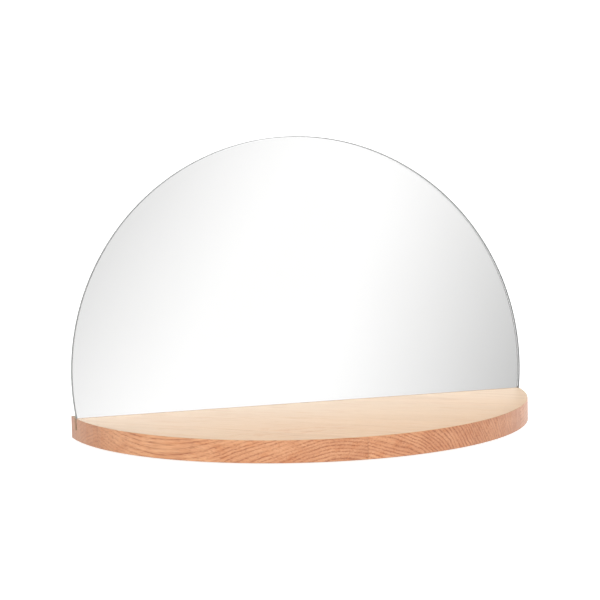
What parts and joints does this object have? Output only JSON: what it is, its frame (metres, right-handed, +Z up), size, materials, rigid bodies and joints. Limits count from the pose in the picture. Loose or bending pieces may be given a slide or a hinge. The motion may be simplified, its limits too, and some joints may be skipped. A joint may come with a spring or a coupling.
{
  "type": "table mirror with shelf",
  "caption": "Frameless round mirror pane standing, slightly leant back, in a groove across a half-round solid wood shelf on felt feet.",
  "frame": {"origin": "on the table top, under the middle of the whole outline seen from above", "axes": "+X along the mirror to its viewer's right, +Y towards the mirror's back, +Z up"},
  "size_m": [0.4, 0.2152, 0.2477],
  "materials": {
    "shelf_wood": "matt oiled, growth rings on the cut edge",
    "clear_glass": "float glass with polished bevelled rim",
    "silvering": "silver coat under grey lacquer",
    "backing_film": "matt woven-look safety film",
    "grey_felt": "pressed wool felt",
    "setting_rubber": "matt",
    "sealant": "cured silicone",
    "foot_adhesive": "foam adhesive"
  },
  "bodies": {
    "root": {"stave_front_left": "shelf_wood", "stave_front": "shelf_wood", "stave_middle": "shelf_wood", "stave_rear": "shelf_wood", "stave_corner": "shelf_wood", "mirror_glass": "clear_glass", "mirror_silvering": "silvering", "safety_film": "backing_film", "felt_strip": "grey_felt", "setting_pads": "setting_rubber", "groove_sealant": "sealant", "felt_feet": "grey_felt", "foot_adhesive": "foot_adhesive"}
  },
  "joints": []
}
